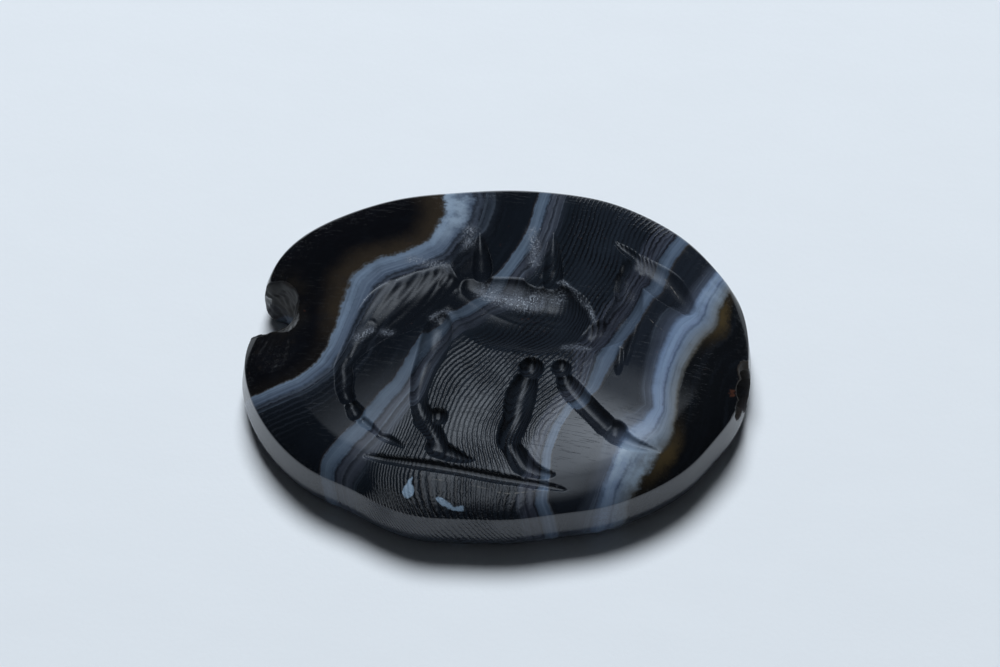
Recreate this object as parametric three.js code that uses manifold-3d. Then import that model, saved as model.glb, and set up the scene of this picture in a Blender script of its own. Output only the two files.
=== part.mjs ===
// Engraved oval gem of banded agate, cut down from a scarab.
// It lies face up: +X runs along the drilled hole and the picture's ground line, +Y is the picture's
// upward direction and +Z comes out of the engraved face. Lengths are in millimetres.

import * as THREE from 'three';
import { mergeVertices } from 'three/addons/utils/BufferGeometryUtils.js';
import Module from 'manifold-3d';

const wasm = await Module();
wasm.setup();

// The oval stone
const HALF_LENGTH = 8.54;
const HALF_WIDTH = 6.72;
const OVAL_POWER = 2.13; // 2 is an ellipse, a little more fills out the shoulders
const OVAL_TURN = THREE.MathUtils.degToRad(8.5); // the oval lies askew to the picture
const THICKNESS = 3.45;
const CROWN = 0.66; // how far the middle of the face stands above its border
const GIRTH_HEIGHT = 1.0; // where the stone is widest
const BASE_INSET = 0.6; // the flat underside is this much smaller than the girth
const EDGE_RADIUS = 1.85; // rounding between the girth and the face
const EDGE_ARC = THREE.MathUtils.degToRad(76);
const BORDER_INSET = EDGE_RADIUS * (1 - Math.cos(EDGE_ARC));
const BORDER_HEIGHT = THICKNESS - CROWN;

// Hand-ground unevenness of the outline: direction in degrees, spread in degrees, amount outward
const OUTLINE_WEAR = [
  [157, 12, 0.12],
  [112, 14, -0.09],
  [66, 12, 0.07],
  [33, 8, -0.07],
  [237, 8, -0.15],
  [257, 9, 0.12],
  [297, 10, -0.1],
  [343, 7, -0.08],
  [179.5, 9.5, -0.45],
];

// The hole drilled lengthwise, and the breaks at its two ends
const DRILL_RADIUS = 0.7;
const DRILL_HEIGHT = 1.45;
const DRILL_OFFSET = 0.1; // sideways from the middle
const NOTCH_HALF_WIDTH = 1.05; // the left end of the hole has broken out to this channel
const NOTCH_END = -6.75;
const NOTCH_FLARE = 0.75; // extra width at the mouth, on the upper side
const FLAKE_SCARS = [
  // centre x, y, z and radius of the balls that the flakes' hollows follow
  [-8.0, 0.1, 3.9, 1.85],
  [-8.62, -1.75, 5.0, 3.02],
  [-8.75, 1.35, 4.95, 2.95],
];
const MOUTH_CHIPS = [
  // the same, round the right end of the hole
  [8.75, 0.45, 2.45, 0.8],
  [8.5, -0.85, 1.75, 0.42],
];

// Facets
const OUTLINE_SIDES = 96;
const FACE_RINGS = 9;
const EDGE_RINGS = 6;
const UNDER_RINGS = 3;
const CUT_STEP = 0.42; // spacing of the sections along a cut
const CUT_FACET = 0.3; // width of a facet across a cut
const CAP_RINGS = 3; // sections in the round end of a cut
const PIT_DETAIL = 3;
const BREAK_DETAIL = 6;
const DRILL_SIDES = 24;
const NOTCH_SIDES = 8;
const CUT_MARGIN = 1; // a cut that passes through the stone runs this far beyond it
const SMALLEST_CUT = 0.03; // least half width and depth of a groove's pointed end
const SHORTEST_EDGE = 0.05; // crossing cuts leave no edge shorter than this

// Distance from the middle to the stone's girth in a direction
function girthRadius(angle) {
  const turned = angle - OVAL_TURN;
  const along = Math.abs(Math.cos(turned) / HALF_LENGTH) ** OVAL_POWER;
  const across = Math.abs(Math.sin(turned) / HALF_WIDTH) ** OVAL_POWER;
  let radius = (along + across) ** (-1 / OVAL_POWER);
  for (const [at, spread, amount] of OUTLINE_WEAR) {
    const away = THREE.MathUtils.euclideanModulo(THREE.MathUtils.radToDeg(angle) - at + 180, 360) - 180;
    radius += amount * Math.exp(-((away / spread) ** 2));
  }
  return radius;
}

// Height of the polished surface, before engraving, above a place inside the outline
function faceHeight(x, y) {
  const radius = Math.hypot(x, y);
  const girth = girthRadius(Math.atan2(y, x));
  const inset = Math.max(girth - radius, 0);
  if (inset < BORDER_INSET) {
    const rise = Math.sin(Math.acos(1 - inset / EDGE_RADIUS)) / Math.sin(EDGE_ARC);
    return GIRTH_HEIGHT + (BORDER_HEIGHT - GIRTH_HEIGHT) * rise;
  }
  const share = radius / (girth - BORDER_INSET);
  return THICKNESS - CROWN * share * share;
}

// Closed mesh between two poles through rings that all have the same number of points
function ringedGeometry(firstPole, rings, lastPole) {
  const sides = rings[0].length;
  const positions = [...firstPole, ...rings.flat(2), ...lastPole];
  const last = rings.length * sides + 1;
  const index = [];
  for (let i = 0; i < sides; i++) {
    const next = (i + 1) % sides;
    index.push(0, 1 + next, 1 + i);
    for (let ring = 1; ring < rings.length; ring++) {
      const below = 1 + (ring - 1) * sides;
      const above = 1 + ring * sides;
      index.push(below + i, below + next, above + next);
      index.push(below + i, above + next, above + i);
    }
    index.push(last, last - sides + i, last - sides + next);
  }
  const geometry = new THREE.BufferGeometry();
  geometry.setAttribute('position', new THREE.Float32BufferAttribute(positions, 3));
  geometry.setIndex(index);
  return geometry;
}

// Solid for joining and cutting, from a closed geometry
function solidFrom(geometry) {
  const bare = geometry.clone();
  bare.deleteAttribute('normal');
  bare.deleteAttribute('uv');
  const merged = mergeVertices(bare);
  const corners = merged.index.array;
  const triVerts = [];
  for (let i = 0; i < corners.length; i += 3) {
    const [a, b, c] = [corners[i], corners[i + 1], corners[i + 2]];
    if (a !== b && b !== c && c !== a) triVerts.push(a, b, c);
  }
  const vertProperties = new Float32Array(merged.attributes.position.array);
  const mesh = new wasm.Mesh({ numProp: 3, vertProperties, triVerts: new Uint32Array(triVerts) });
  return new wasm.Manifold(mesh);
}

// Geometry for display, from a solid, without the slivers that crossing cuts leave
function geometryFrom(solid) {
  const mesh = solid.getMesh();
  const points = [];
  for (let i = 0; i < mesh.vertProperties.length; i += 3) {
    points.push(new THREE.Vector3().fromArray(mesh.vertProperties, i));
  }
  let faces = [];
  for (let i = 0; i < mesh.triVerts.length; i += 3) faces.push([...mesh.triVerts.subarray(i, i + 3)]);
  let closed = 1;
  while (closed > 0) [faces, closed] = closeShortEdges(points, faces);
  const geometry = new THREE.BufferGeometry().setFromPoints(points);
  geometry.setIndex(faces.flat());
  const tidy = mergeVertices(geometry.toNonIndexed());
  tidy.computeVertexNormals();
  return tidy;
}

// One pass over the mesh that draws the ends of short edges together, where that turns no face over
function closeShortEdges(points, faces) {
  const facesAt = points.map(() => []);
  for (const face of faces) face.forEach((corner) => facesAt[corner].push(face));
  const neighbours = (corner) => new Set(facesAt[corner].flat().filter((other) => other !== corner));
  const short = [];
  for (const face of faces) {
    face.forEach((from, i) => {
      const to = face[(i + 1) % 3];
      const length = points[from].distanceTo(points[to]);
      if (from < to && length < SHORTEST_EDGE) short.push({ from, to, length });
    });
  }
  short.sort((one, other) => one.length - other.length);
  const touched = new Set();
  const gone = new Set();
  for (const { from, to } of short) {
    const around = neighbours(from);
    const beyond = neighbours(to);
    const shared = [...around].filter((corner) => beyond.has(corner));
    const near = [from, to, ...around, ...beyond];
    if (shared.length !== 2 || near.some((corner) => touched.has(corner))) continue;
    const meeting = points[from].clone().add(points[to]).multiplyScalar(0.5);
    const ring = [...facesAt[from], ...facesAt[to]];
    const onEdge = (face) => face.includes(from) && face.includes(to);
    if (ring.some((face) => !onEdge(face) && turnsOver(points, face, [from, to], meeting))) continue;
    ring.forEach((face) => {
      if (onEdge(face)) gone.add(face);
      const place = face.indexOf(to);
      if (place >= 0) face[place] = from;
    });
    points[from].copy(meeting);
    near.forEach((corner) => touched.add(corner));
  }
  return [faces.filter((face) => !gone.has(face)), gone.size];
}

// Whether a face would turn by a right angle or more when some of its corners move to one place
function turnsOver(points, face, moving, place) {
  const placeAfter = (corner) => (moving.includes(corner) ? place : points[corner]);
  const before = new THREE.Triangle(...face.map((corner) => points[corner]));
  const after = new THREE.Triangle(...face.map(placeAfter));
  const turned = after.getNormal(new THREE.Vector3());
  return turned.dot(before.getNormal(new THREE.Vector3())) <= 0 || after.getArea() === 0;
}

// The polished blank: flat underside, rounded lower edge, girth, rounded upper edge and domed face
function blank() {
  const levels = [];
  for (let i = 0; i <= UNDER_RINGS; i++) {
    const turn = (i / UNDER_RINGS) * (Math.PI / 2);
    levels.push([BASE_INSET * (1 - Math.sin(turn)), GIRTH_HEIGHT * (1 - Math.cos(turn)), 1]);
  }
  for (let i = 1; i <= EDGE_RINGS; i++) {
    const turn = (i / EDGE_RINGS) * EDGE_ARC;
    const rise = Math.sin(turn) / Math.sin(EDGE_ARC);
    const height = GIRTH_HEIGHT + (BORDER_HEIGHT - GIRTH_HEIGHT) * rise;
    levels.push([EDGE_RADIUS * (1 - Math.cos(turn)), height, 1]);
  }
  for (let i = FACE_RINGS - 1; i > 0; i--) {
    const share = i / FACE_RINGS;
    levels.push([BORDER_INSET, THICKNESS - CROWN * share * share, share]);
  }
  const rings = [];
  for (const [inset, height, share] of levels) {
    const ring = [];
    for (let side = 0; side < OUTLINE_SIDES; side++) {
      const angle = (side / OUTLINE_SIDES) * 2 * Math.PI;
      const radius = (girthRadius(angle) - inset) * share;
      ring.push([radius * Math.cos(angle), radius * Math.sin(angle), height]);
    }
    rings.push(ring);
  }
  return solidFrom(ringedGeometry([0, 0, 0], rings, [0, 0, THICKNESS]));
}

// Radius of the round tool that opens a hollow this wide and this deep. It never undercuts the face.
function toolRadius(halfWidth, depth) {
  const width = Math.max(halfWidth, depth);
  return (width * width + depth * depth) / (2 * depth);
}

// Round hollow of a bow drill
function pit(x, y, halfWidth, depth) {
  const radius = toolRadius(halfWidth, depth);
  const ball = new THREE.IcosahedronGeometry(radius, PIT_DETAIL);
  ball.translate(x, y, faceHeight(x, y) - depth + radius);
  return solidFrom(ball);
}

// Groove of a wheel that swells and narrows from station to station
function groove(stations) {
  const route = new THREE.SplineCurve(stations.map(([x, y]) => new THREE.Vector2(x, y)));
  const size = new THREE.SplineCurve(stations.map(([, , w, d]) => new THREE.Vector2(w, d)));
  const steps = Math.max(2, Math.round(route.getLength() / CUT_STEP));
  const balls = [];
  for (let i = 0; i <= steps; i++) {
    const place = route.getPoint(i / steps);
    const opening = size.getPoint(i / steps);
    const depth = Math.max(opening.y, SMALLEST_CUT);
    const radius = toolRadius(Math.max(opening.x, SMALLEST_CUT), depth);
    const height = faceHeight(place.x, place.y) - depth + radius;
    balls.push({ at: new THREE.Vector3(place.x, place.y, height), radius });
  }
  return sweptBalls(balls);
}

// Solid that a ball leaves as it moves through a row of places and sizes. Its sections stand upright.
function sweptBalls(balls) {
  const widest = Math.max(...balls.map((ball) => ball.radius));
  const sides = THREE.MathUtils.clamp(2 * Math.round((Math.PI * widest) / CUT_FACET), 10, 36);
  const rings = [];
  const addRing = (centre, radius, heading) => {
    const ring = [];
    for (let side = 0; side < sides; side++) {
      const angle = ((side + 0.5) / sides) * 2 * Math.PI;
      const across = radius * Math.cos(angle);
      const x = centre.x - across * heading.y;
      const y = centre.y + across * heading.x;
      ring.push([x, y, centre.z + radius * Math.sin(angle)]);
    }
    rings.push(ring);
  };
  const headingBetween = (from, to) => new THREE.Vector3(to.x - from.x, to.y - from.y, 0).normalize();
  const first = balls[0];
  const last = balls[balls.length - 1];
  const setOut = headingBetween(first.at, balls[1].at);
  const arrive = headingBetween(balls[balls.length - 2].at, last.at);
  for (let i = CAP_RINGS; i > 0; i--) {
    const turn = (i / (CAP_RINGS + 1)) * (Math.PI / 2);
    const centre = first.at.clone().addScaledVector(setOut, -first.radius * Math.sin(turn));
    addRing(centre, first.radius * Math.cos(turn), setOut);
  }
  balls.forEach((ball, i) => {
    const before = balls[Math.max(i - 1, 0)].at;
    const after = balls[Math.min(i + 1, balls.length - 1)].at;
    addRing(ball.at, ball.radius, headingBetween(before, after));
  });
  for (let i = 1; i <= CAP_RINGS; i++) {
    const turn = (i / (CAP_RINGS + 1)) * (Math.PI / 2);
    const centre = last.at.clone().addScaledVector(arrive, last.radius * Math.sin(turn));
    addRing(centre, last.radius * Math.cos(turn), arrive);
  }
  const firstPole = first.at.clone().addScaledVector(setOut, -first.radius);
  const lastPole = last.at.clone().addScaledVector(arrive, last.radius);
  return solidFrom(ringedGeometry(firstPole.toArray(), rings, lastPole.toArray()));
}

// The picture: a two-humped camel that walks to the right over a ground line.
// Stations and pits are given as x, y, half width and depth at the face.
const FAR_THIGH = [
  [-1.95, 1.5, 0.8, 0.28],
  [-3.0, 0.76, 0.96, 0.28],
  [-3.9, -0.2, 0.88, 0.24],
  [-4.5, -1.3, 0.42, 0.2],
];
const HAIR_STRANDS = 5;
const HAIR_SIDES = [-0.6, 0.62]; // first and last strand, as shares of the thigh's half width
const HAIR_DEPTHS = [-0.04, 0.07, 0.08, 0.02]; // below the thigh's hollow, at each of its stations

function trunk() {
  return [
    groove([
      [-1.3, 1.2, 0.85, 0.36],
      [-0.2, 0.52, 1.15, 0.5],
      [0.9, 0.45, 1.38, 0.6],
      [2.0, 0.72, 1.36, 0.58],
    ]),
  ];
}

function humps() {
  return [
    groove([
      [-1.3, 3.85, 0.05, 0.05],
      [-1.15, 3.1, 0.36, 0.27],
      [-1.05, 2.4, 0.54, 0.4],
      [-0.95, 1.5, 0.62, 0.46],
    ]),
    groove([
      [-1.78, 3.15, 0.05, 0.04],
      [-1.8, 2.4, 0.24, 0.14],
      [-1.7, 1.8, 0.3, 0.2],
    ]),
    groove([
      [1.28, 4.08, 0.05, 0.05],
      [1.25, 3.1, 0.32, 0.26],
      [1.3, 2.4, 0.48, 0.38],
      [1.4, 1.5, 0.56, 0.46],
    ]),
  ];
}

function neckAndHead() {
  return [
    groove([
      [3.2, 0.15, 0.5, 0.26],
      [3.85, 0.55, 0.54, 0.28],
      [4.16, 1.5, 0.5, 0.28],
      [4.15, 2.4, 0.52, 0.26],
      [4.25, 3.3, 0.5, 0.24],
    ]),
    groove([
      [4.4, 3.4, 0.55, 0.24],
      [5.05, 2.98, 0.64, 0.3],
      [5.7, 2.55, 0.52, 0.28],
      [6.12, 2.12, 0.32, 0.18],
    ]),
    groove([
      [3.38, 4.22, 0.05, 0.04],
      [3.75, 3.97, 0.17, 0.13],
      [4.2, 3.65, 0.22, 0.16],
    ]),
  ];
}

function throatHair() {
  const strands = [
    [4.64, 1.5, 4.43, -0.4],
    [4.5, 0.35, 4.44, -0.52],
    [4.18, -0.1, 4.26, -0.98],
  ];
  return strands.map(([x, y, endX, endY]) =>
    groove([[x, y, 0.06, 0.06], [(x + endX) / 2, (y + endY) / 2, 0.1, 0.13], [endX, endY, 0.06, 0.07]]));
}

function farHindLeg() {
  return [
    groove([
      ...FAR_THIGH,
      [-4.7, -2.1, 0.3, 0.2],
      [-4.6, -2.8, 0.28, 0.2],
      [-4.4, -3.3, 0.24, 0.18],
    ]),
    pit(-4.1, -3.78, 0.3, 0.22),
    groove([
      [-3.75, -4.1, 0.14, 0.12],
      [-3.4, -4.3, 0.11, 0.1],
      [-3.15, -4.45, 0.06, 0.06],
    ]),
    groove([
      [-3.15, -4.52, 0.05, 0.05],
      [-2.75, -4.62, 0.13, 0.13],
      [-2.25, -4.82, 0.04, 0.04],
    ]),
  ];
}

// Strands of hair that run along the far thigh, within its hollow
function thighHair() {
  const cuts = [];
  for (let strand = 0; strand < HAIR_STRANDS; strand++) {
    const side = HAIR_SIDES[0] + ((HAIR_SIDES[1] - HAIR_SIDES[0]) * strand) / (HAIR_STRANDS - 1);
    const stations = FAR_THIGH.map(([x, y, halfWidth, depth], i) => {
      const [fromX, fromY] = FAR_THIGH[Math.max(i - 1, 0)];
      const [toX, toY] = FAR_THIGH[Math.min(i + 1, FAR_THIGH.length - 1)];
      const length = Math.hypot(toX - fromX, toY - fromY);
      const offset = side * halfWidth;
      const radius = toolRadius(halfWidth, depth);
      const floor = Math.sqrt(radius * radius - offset * offset) - radius + depth + HAIR_DEPTHS[i];
      return [x + (offset * (toY - fromY)) / length, y - (offset * (toX - fromX)) / length, floor, floor];
    });
    cuts.push(groove(stations));
  }
  return cuts;
}

function nearHindLeg() {
  return [
    groove([
      [-1.85, -0.1, 0.34, 0.28],
      [-1.78, -1.0, 0.42, 0.32],
      [-2.0, -2.0, 0.32, 0.28],
      [-2.05, -3.0, 0.28, 0.24],
      [-1.8, -3.6, 0.33, 0.26],
    ]),
    pit(-1.23, -3.75, 0.2, 0.18),
    groove([
      [-1.6, -3.9, 0.24, 0.2],
      [-1.15, -4.4, 0.2, 0.18],
      [-0.95, -4.75, 0.25, 0.2],
    ]),
    groove([
      [-1.15, -4.85, 0.2, 0.17],
      [-0.7, -4.97, 0.15, 0.13],
      [0.05, -4.88, 0.04, 0.04],
    ]),
  ];
}

function straightForeleg() {
  return [
    pit(1.47, -1.37, 0.4, 0.34),
    groove([
      [1.3, -2.05, 0.45, 0.38],
      [1.26, -3.05, 0.4, 0.34],
      [1.2, -4.1, 0.32, 0.28],
    ]),
    groove([
      [1.22, -4.25, 0.3, 0.26],
      [1.7, -4.82, 0.34, 0.24],
      [2.25, -5.02, 0.24, 0.16],
      [2.75, -4.95, 0.05, 0.05],
    ]),
  ];
}

function raisedForeleg() {
  return [
    pit(2.33, -1.15, 0.33, 0.28),
    groove([
      [2.62, -1.68, 0.28, 0.2],
      [3.1, -2.12, 0.37, 0.3],
      [4.12, -3.0, 0.35, 0.3],
    ]),
    pit(4.47, -3.14, 0.34, 0.3),
    groove([
      [4.6, -3.2, 0.24, 0.18],
      [5.2, -3.38, 0.16, 0.12],
      [6.0, -3.42, 0.04, 0.04],
    ]),
  ];
}

function groundLine() {
  return [
    groove([
      [-3.45, -5.22, 0.04, 0.04],
      [-2.6, -5.25, 0.1, 0.09],
      [0, -5.32, 0.1, 0.1],
      [2.2, -5.3, 0.09, 0.08],
      [3.15, -5.3, 0.04, 0.04],
    ]),
  ];
}

// The long hole, open at both ends
function drilledHole() {
  const length = 2 * (HALF_LENGTH + CUT_MARGIN);
  const rod = new THREE.CylinderGeometry(DRILL_RADIUS, DRILL_RADIUS, length, DRILL_SIDES);
  rod.rotateZ(Math.PI / 2);
  rod.translate(0, DRILL_OFFSET, DRILL_HEIGHT);
  return solidFrom(rod);
}

// The channel where the left end of the hole has broken out through face and underside
function notch() {
  const outside = -HALF_LENGTH - CUT_MARGIN;
  const bend = NOTCH_END - NOTCH_HALF_WIDTH;
  const shape = new THREE.Shape();
  shape.moveTo(outside, DRILL_OFFSET - NOTCH_HALF_WIDTH);
  shape.lineTo(bend, DRILL_OFFSET - NOTCH_HALF_WIDTH);
  shape.absarc(bend, DRILL_OFFSET, NOTCH_HALF_WIDTH, -Math.PI / 2, Math.PI / 2, false);
  shape.lineTo(outside, DRILL_OFFSET + NOTCH_HALF_WIDTH + NOTCH_FLARE);
  const block = new THREE.ExtrudeGeometry(shape, {
    depth: THICKNESS + 2 * CUT_MARGIN,
    bevelEnabled: false,
    curveSegments: NOTCH_SIDES,
  });
  block.translate(0, 0, -CUT_MARGIN);
  return solidFrom(block);
}

function breaks() {
  return [...FLAKE_SCARS, ...MOUTH_CHIPS].map(([x, y, z, radius]) => {
    const ball = new THREE.IcosahedronGeometry(radius, BREAK_DETAIL);
    ball.translate(x, y, z);
    return solidFrom(ball);
  });
}

function engravedStone() {
  const engraving = [
    ...trunk(),
    ...humps(),
    ...neckAndHead(),
    ...throatHair(),
    ...farHindLeg(),
    ...thighHair(),
    ...nearHindLeg(),
    ...straightForeleg(),
    ...raisedForeleg(),
    ...groundLine(),
  ];
  const cuts = [...engraving, ...breaks(), notch(), drilledHole()];
  return geometryFrom(cuts.reduce((stone, cut) => stone.subtract(cut), blank()));
}

const agate = new THREE.MeshStandardMaterial({ color: 0x15171c, roughness: 0.22, metalness: 0 });

const gem = new THREE.Group();
const stone = new THREE.Mesh(engravedStone(), agate);
stone.name = 'engraved_stone';
gem.add(stone);

// The origin is under the middle of the stone's box
const middle = new THREE.Box3().setFromObject(stone).getCenter(new THREE.Vector3());
stone.geometry.translate(-middle.x, -middle.y, 0);

export default gem;
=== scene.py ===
# Looks of an engraved oval gem of banded agate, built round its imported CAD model.
# The stone is worked out in millimetres in its design frame, where +X runs along the drilled hole and
# +Z comes out of the engraved face, and is handed to Blender in metres in the row's frame.
import math

import bpy
import numpy as np
from mathutils import Matrix, Vector
from mathutils.geometry import delaunay_2d_cdt


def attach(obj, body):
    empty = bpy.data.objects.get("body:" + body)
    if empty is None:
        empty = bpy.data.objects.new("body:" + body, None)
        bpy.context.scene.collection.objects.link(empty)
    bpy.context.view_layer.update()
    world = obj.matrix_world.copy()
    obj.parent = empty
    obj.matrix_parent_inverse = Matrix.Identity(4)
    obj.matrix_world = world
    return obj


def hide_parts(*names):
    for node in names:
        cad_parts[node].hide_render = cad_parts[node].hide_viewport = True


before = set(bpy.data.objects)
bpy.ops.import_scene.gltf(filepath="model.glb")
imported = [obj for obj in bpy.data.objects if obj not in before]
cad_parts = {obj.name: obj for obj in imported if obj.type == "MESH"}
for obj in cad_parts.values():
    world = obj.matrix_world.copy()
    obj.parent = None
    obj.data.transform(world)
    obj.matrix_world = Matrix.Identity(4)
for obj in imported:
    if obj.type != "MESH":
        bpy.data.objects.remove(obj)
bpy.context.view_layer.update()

MM = 0.001
BOX_MIDDLE = np.array([0.1156, -0.0457, 0.0])  # middle of the stone's box in the design frame

# The oval stone, as in the CAD model
HALF_LENGTH = 8.54
HALF_WIDTH = 6.72
OVAL_POWER = 2.13
OVAL_TURN = math.radians(8.5)
THICKNESS = 3.45
CROWN = 0.66
GIRTH_HEIGHT = 1.0
BASE_INSET = 0.6
EDGE_RADIUS = 1.85
EDGE_ARC = math.radians(76)
BORDER_INSET = EDGE_RADIUS * (1 - math.cos(EDGE_ARC))
BORDER_HEIGHT = THICKNESS - CROWN
OUTLINE_WEAR = [  # direction in degrees, spread in degrees, amount outward
    [157, 12, 0.12], [112, 14, -0.09], [66, 12, 0.07], [33, 8, -0.07], [237, 8, -0.15],
    [257, 9, 0.12], [297, 10, -0.1], [343, 7, -0.08], [179.5, 9.5, -0.45],
]
DRILL_RADIUS = 0.7
DRILL_HEIGHT = 1.45
DRILL_OFFSET = 0.1
NOTCH_HALF_WIDTH = 1.05
NOTCH_END = -6.75
NOTCH_FLARE = 0.75

# Rim and breaks, told more closely than in the CAD model
WALL_INSET = 0.12  # on the near side the polished face meets the ground wall here, at a crisp edge
WALL_BEND = 2.218  # radius of the rounding above it, at the front
SIDE_BEND = 2.75  # and at the sides
BEVEL_TILT = math.radians(57)  # the far side's narrow bevel, steeper toward the sides
BEVEL_LEAST = 0.3  # keeps it from growing steeper still where it fades out
BEVEL_WEAR = 0.1
FAR_BEND = 0.325  # how fast the face falls off toward the bevel
NEAR_SIDE = math.radians(-80.5)
NEAR_END, NEAR_FADE = 118, 20  # degrees from the near side where its crisp edge ends, and over how many
FRONT_END, FRONT_FADE = 90, 40  # the same for the rounding at the front
FLAKE_SCARS = [  # x, y, z and radius of the ball that leaves each
    [-7.4, -0.35, 3.45, 1.05], [-8.62, -1.75, 6.25, 4.0], [-9.62, 1.6, 6.08, 4.15],
    [-6.88, 1.3, 3.85, 1.0], [-6.64, 0.3, 3.86, 1.0],
]
SCAR_WEAR = 0.08
BREAK_X, BREAK_Y = -6.9, 0.2  # the ripples of the break spread from here
RIPPLE_LENGTH = 0.24
MOUTH_CHIPS = [  # x, y, z and radius
    [8.72, 0.4, 2.4, 0.62], [8.5, -0.85, 1.75, 0.42], [8.62, -0.3, 2.05, 0.52],
]

# Fineness of the mesh
FINE = 0.045
SEAM_INSET = 0.8  # outside this the surface is made of rings
RING_INSETS = (
    0.76, 0.72, 0.69, 0.665, 0.645, 0.63, 0.615, 0.6, 0.58, 0.555, 0.52, 0.48, 0.43, 0.38, 0.34,
    0.31, 0.28, 0.24, 0.2, 0.165, 0.14, 0.128, 0.118, 0.108, 0.09, 0.06, 0.03, 0.008,
)
LOWER_LEVELS = 15  # rings of the rounded lower edge
OUTLINE_SIDES = 640
CUT_MARGIN = 0.1  # the mesh is fine this far round a cut
NOTCH_MIDDLE, NOTCH_REACH = -8.0, 2.75  # x of the finely meshed place at the notch, and its radius
UNDERSIDE_STEP = 0.22
UNDERSIDE_COUNT = 45  # steps from the middle to past the edge
NOTHING = 99.0  # a height that stands for no cut
BALL_STEP = 0.03
BORE_REACH = 10.0
BORE_STEP = 0.12
BORE_SIDES = 40
NOTCH_STEP = 0.07
NOTCH_SIDES = 34  # places along each straight side
NOTCH_END_SIDES = 60  # and round the end
CHIP_LEVELS = 40
CHIP_SIDES = 64
RIM_WEAR = 0.075  # rounding of the rims of the cuts
WORN_ENDS = -6.2, 7.3  # the rims of the through cuts are worn beyond these, in x
SHARP_TURN = math.radians(42)
WEAR_FADE = 0.72
WEAR_REACH = 3  # edges from the rim
WEAR_ROUNDS = 6

FLOOR_COLOUR = (0.77, 0.81, 0.86)
FLOOR_SHADE = 0.985
TABLE_HALF = 0.6
LAMP_AWAY = 0.4
CAMERA_AWAY = 0.185
AIM_HEIGHT, AIM_RIGHT, AIM_UP = 2.0, 0.14, 0.52  # in mm
AZIMUTH, ELEVATION = math.radians(9.5), math.radians(57)  # of the camera


def girth_radius(angle):
    """Distance from the middle to the girth in a direction."""
    turned = angle - OVAL_TURN
    along = np.abs(np.cos(turned) / HALF_LENGTH) ** OVAL_POWER
    across = np.abs(np.sin(turned) / HALF_WIDTH) ** OVAL_POWER
    radius = (along + across) ** (-1 / OVAL_POWER)
    for at, spread, amount in OUTLINE_WEAR:
        away = (np.degrees(angle) - at + 180) % 360 - 180
        radius = radius + amount * np.exp(-((away / spread) ** 2))
    return radius


def inset_of(x, y):
    return girth_radius(np.arctan2(y, x)) - np.hypot(x, y)


def face_height(x, y):
    """Height of the polished surface, before engraving."""
    radius = np.hypot(x, y)
    girth = girth_radius(np.arctan2(y, x))
    inset = np.clip(girth - radius, 0, None)
    fall = np.clip(1 - inset / EDGE_RADIUS, -1, 1)
    edge = GIRTH_HEIGHT + (BORDER_HEIGHT - GIRTH_HEIGHT) * np.sin(np.arccos(fall)) / math.sin(EDGE_ARC)
    turned = np.degrees(np.abs((np.arctan2(y, x) - NEAR_SIDE + math.pi) % (2 * math.pi) - math.pi))
    near, front = eased((NEAR_END - turned) / NEAR_FADE), eased((FRONT_END - turned) / FRONT_FADE)
    start = math.cos(EDGE_ARC)
    bend = SIDE_BEND + (WALL_BEND - SIDE_BEND) * front
    lean = np.clip(start + (BORDER_INSET - np.maximum(inset, WALL_INSET)) / bend, 0, 1)
    crisp = BORDER_HEIGHT - bend * (math.sin(EDGE_ARC) - np.sqrt(1 - lean * lean))
    crisp = GIRTH_HEIGHT + (crisp - GIRTH_HEIGHT) * np.minimum(inset / WALL_INSET, 1)
    rise = BORDER_INSET - inset
    far = BORDER_HEIGHT - rise * (1 / math.tan(EDGE_ARC) + FAR_BEND / 2 * rise)
    tilt = np.arctan(math.tan(BEVEL_TILT) / np.maximum(-np.cos(np.radians(turned)), BEVEL_LEAST))
    foot = EDGE_RADIUS * (1 - np.sin(tilt))
    bevel = GIRTH_HEIGHT + EDGE_RADIUS * np.cos(tilt) + (inset - foot) * np.tan(tilt)
    far = np.where(inset > foot, smooth_min(far, bevel, BEVEL_WEAR), edge)
    edge = far + (crisp - far) * near
    share = radius / (girth - BORDER_INSET)
    return np.where(inset < BORDER_INSET, edge, THICKNESS - CROWN * share * share)


def eased(share):
    share = np.clip(share, 0, 1)
    return share * share * (3 - 2 * share)


def spline(stations, shares):
    """Catmull-Rom curve through stations, at shares of its run from 0 to 1."""
    points = np.array(stations, float)
    last = len(points) - 1
    run = shares * last
    i = np.clip(run.astype(int), 0, last - 1)
    t = (run - i)[:, None]
    before, start, end, after = (points[np.clip(i + k, 0, last)] for k in (-1, 0, 1, 2))
    leave, arrive = (end - before) / 2, (after - start) / 2
    return ((2 * start - 2 * end + leave + arrive) * t ** 3
            + (-3 * start + 3 * end - 2 * leave - arrive) * t ** 2 + leave * t + start)


def tool_radius(half_width, depth):
    width = np.maximum(half_width, depth)
    return (width * width + depth * depth) / (2 * depth)


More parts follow.
